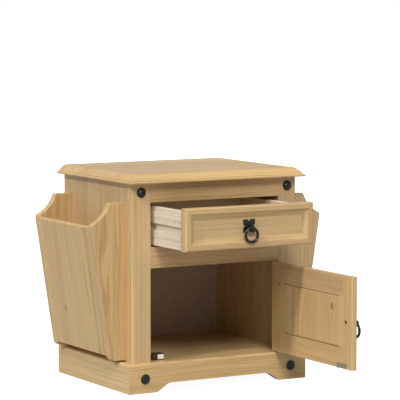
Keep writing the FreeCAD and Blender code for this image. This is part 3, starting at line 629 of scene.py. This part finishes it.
class NIGHTSTAND_OT_back_nails(bpy.types.Operator):
    """Nail the back panel down along its edges"""

    bl_idname = "nightstand.back_nails"
    bl_label = "Back panel nails"

    INSET = 6 * MM
    HEAD_THICKNESS = 0.5 * MM
    HEAD_SIDES = 14

    def execute(self, context):
        metal = context.scene.nightstand_metal
        low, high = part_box("back_panel")
        left, right = low.x + self.INSET, high.x - self.INSET
        bottom, top = low.z + self.INSET, high.z - self.INSET
        corners = [(left, bottom), (right, bottom), (right, top), (left, top)]
        path = bpy.data.meshes.new("nail line")
        path.from_pydata([(x, high.y, z) for x, z in corners], [(0, 1), (1, 2), (2, 3), (3, 0)], [])
        guide = bpy.data.objects.new("nail_guide", path)
        context.scene.collection.objects.link(guide)
        tree = self.nail_tree(once(bpy.data.materials, "zinc plated steel", plated_steel))
        modifier = guide.modifiers.new("Nails", "NODES")
        modifier.node_group = tree
        wanted = {"Spacing": metal.nail_gap, "Head Diameter": metal.nail_head}
        for item in tree.interface.items_tree:
            if item.in_out == "INPUT" and item.name in wanted:
                modifier[item.identifier] = wanted[item.name]
        shown = guide.evaluated_get(context.evaluated_depsgraph_get())
        mesh = bpy.data.meshes.new_from_object(shown)
        bpy.data.objects.remove(guide)
        new_piece("back_panel_nails", mesh, "cabinet")
        return {"FINISHED"}

    def nail_tree(self, steel):
        """Flat nail heads at even steps along the guide, facing the back."""
        tree = bpy.data.node_groups.new("back panel nails", "GeometryNodeTree")
        socket_list(tree, "INPUT", [
            ("Geometry", "Geometry"), ("Spacing", "Float"), ("Head Diameter", "Float"),
        ])
        socket_list(tree, "OUTPUT", [("Geometry", "Geometry")])
        given = add(tree, "NodeGroupInput").outputs
        curve = add(tree, "GeometryNodeMeshToCurve", {0: given["Geometry"]})
        points = add(tree, "GeometryNodeCurveToPoints", {"Curve": curve, "Length": given["Spacing"]},
                     mode="LENGTH")
        radius = add(tree, "ShaderNodeMath", {0: given["Head Diameter"], 1: 0.5}, operation="MULTIPLY")
        head = add(tree, "GeometryNodeMeshCone", {
            "Vertices": self.HEAD_SIDES, "Radius Top": radius, "Radius Bottom": radius,
            "Depth": self.HEAD_THICKNESS,
        })
        stood = add(tree, "GeometryNodeTransform", {
            "Geometry": head.outputs["Mesh"], "Rotation": (-math.pi / 2, 0, 0),
        })
        placed = add(tree, "GeometryNodeInstanceOnPoints", {"Points": points, "Instance": stood})
        real = add(tree, "GeometryNodeRealizeInstances", {0: placed})
        finished = add(tree, "GeometryNodeSetMaterial", {"Geometry": real, "Material": steel})
        add(tree, "NodeGroupOutput", {"Geometry": finished})
        return tree


class NIGHTSTAND_OT_stage(bpy.types.Operator):
    """Set up the floor, the lights and the camera"""

    bl_idname = "nightstand.stage"
    bl_label = "Stage"

    # A long lens from far off, at the front left and a little above the top.
    CAMERA_AT = Vector((-2.6227, -4.6512, 0.9205))
    TURN = math.radians(-29.95)
    TIP = math.radians(90 - 5.37)
    LENS = 203.1
    VIEW_REACH = 60
    # Lamps: degrees from straight in front towards the right, degrees up, angle across in radians.
    KEY_AT = (-78, 40, 0.1)
    FRONT_AT = (-20, 42, 0.35)
    TOP_AT = (-40, 80, 0.5)
    MIRRORED_WALL = 0.3
    FLOOR_REACH = 14
    FLOOR_GLOW = 0.95
    WHITE = (1, 1, 1, 1)

    def execute(self, context):
        stage = context.scene.nightstand_stage
        self.floor(context)
        self.lamp(context, "key", stage.key, *self.KEY_AT)
        self.lamp(context, "front", stage.fill, *self.FRONT_AT)
        self.lamp(context, "top", stage.top, *self.TOP_AT)
        context.scene.world = self.room(stage.sky)
        context.scene.view_settings.view_transform = "Standard"
        self.camera(context)
        return {"FINISHED"}

    def room(self, strength):
        """A wall that is pure white to the eye, in a room that gives a dim even light."""
        world = bpy.data.worlds.new("white room")
        world.use_nodes = True
        tree = world.node_tree
        tree.nodes.clear()
        # Lacquer and iron mirror only a share of the wall's white.
        path = add(tree, "ShaderNodeLightPath")
        camera_ray, glossy_ray = path.outputs["Is Camera Ray"], path.outputs["Is Glossy Ray"]
        mirrored = add(tree, "ShaderNodeMath", {0: glossy_ray, 1: self.MIRRORED_WALL}, operation="MULTIPLY")
        seen = add(tree, "ShaderNodeMath", {0: camera_ray, 1: mirrored}, operation="MAXIMUM")
        dim = add(tree, "ShaderNodeBackground", {"Color": self.WHITE, "Strength": strength})
        wall = add(tree, "ShaderNodeBackground", {"Color": self.WHITE, "Strength": 1.0})
        both = add(tree, "ShaderNodeMixShader", {0: seen, 1: dim, 2: wall})
        add(tree, "ShaderNodeOutputWorld", {"Surface": both})
        return world

    def camera(self, context):
        """The camera, turned towards the nightstand."""
        data = bpy.data.cameras.new("camera")
        data.lens = self.LENS
        data.sensor_width = 36
        data.clip_end = self.VIEW_REACH
        camera = bpy.data.objects.new("camera", data)
        camera.location = self.CAMERA_AT
        camera.rotation_euler = (self.TIP, 0, self.TURN)
        context.scene.collection.objects.link(camera)
        context.scene.camera = camera

    def floor(self, context):
        """A matt floor that reaches far past the view."""
        mesh = bpy.data.meshes.new("floor")
        size = self.FLOOR_REACH
        mesh.from_pydata([(-size, -size, 0), (size, -size, 0), (size, size, 0), (-size, size, 0)],
                         [], [(0, 1, 2, 3)])
        # Studio paper: flat and even, with a faint tooth.
        paper, tree = new_material("matt white paper")
        where = add(tree, "ShaderNodeTexCoord").outputs["Object"]
        tooth = add(tree, "ShaderNodeTexNoise", {"Vector": where, "Scale": 60.0})
        tone = add(tree, "ShaderNodeMapRange", {0: tooth, 3: 0.5, 4: 0.54})
        # It glows near white to the eye, as an overlit sweep does, and sends little light back up.
        seen = add(tree, "ShaderNodeLightPath").outputs["Is Camera Ray"]
        glow = add(tree, "ShaderNodeMath", {0: seen, 1: self.FLOOR_GLOW}, operation="MULTIPLY")
        shader = add(tree, "ShaderNodeBsdfPrincipled", {
            "Base Color": tone, "Roughness": 0.9, "Emission Color": self.WHITE, "Emission Strength": glow,
        })
        add(tree, "ShaderNodeOutputMaterial", {"Surface": shader})
        mesh.materials.append(paper)
        floor = bpy.data.objects.new("floor", mesh)
        context.scene.collection.objects.link(floor)

    @staticmethod
    def lamp(context, name, strength, azimuth, elevation, spread):
        """A lamp so far off that its light is even."""
        data = bpy.data.lights.new(name, "SUN")
        data.energy = strength
        data.angle = spread
        lamp = bpy.data.objects.new(name, data)
        lamp.rotation_euler = (math.radians(90 - elevation), 0, math.radians(azimuth))
        context.scene.collection.objects.link(lamp)


OPERATORS = (
    NIGHTSTAND_OT_lacquered_boards,
    NIGHTSTAND_OT_bare_boards,
    NIGHTSTAND_OT_pressed_boards,
    NIGHTSTAND_OT_ironwork,
    NIGHTSTAND_OT_studs,
    NIGHTSTAND_OT_fittings,
    NIGHTSTAND_OT_back_nails,
    NIGHTSTAND_OT_stage,
)
GROUPS = {
    "nightstand_wood": NightstandWood,
    "nightstand_metal": NightstandMetal,
    "nightstand_stage": NightstandStage,
}


class NIGHTSTAND_PT_panel(bpy.types.Panel):
    """Sizes, colours and steps of the nightstand"""

    bl_idname = "NIGHTSTAND_PT_panel"
    bl_label = "Nightstand"
    bl_space_type = "VIEW_3D"
    bl_region_type = "UI"
    bl_category = "Nightstand"

    def draw(self, context):
        for name in GROUPS:
            settings = getattr(context.scene, name)
            box = self.layout.box()
            for key in settings.__annotations__:
                box.prop(settings, key)
        for operator in OPERATORS:
            self.layout.operator(operator.bl_idname)


def register():
    for cls in (*GROUPS.values(), *OPERATORS, NIGHTSTAND_PT_panel):
        bpy.utils.register_class(cls)
    for name, cls in GROUPS.items():
        setattr(bpy.types.Scene, name, bpy.props.PointerProperty(type=cls))


def unregister():
    for name in GROUPS:
        delattr(bpy.types.Scene, name)
    for cls in (NIGHTSTAND_PT_panel, *reversed(OPERATORS), *reversed(tuple(GROUPS.values()))):
        bpy.utils.unregister_class(cls)


def main():
    register()
    for operator in OPERATORS:
        area, name = operator.bl_idname.split(".")
        getattr(getattr(bpy.ops, area), name)()


if __name__ == "__main__":
    main()
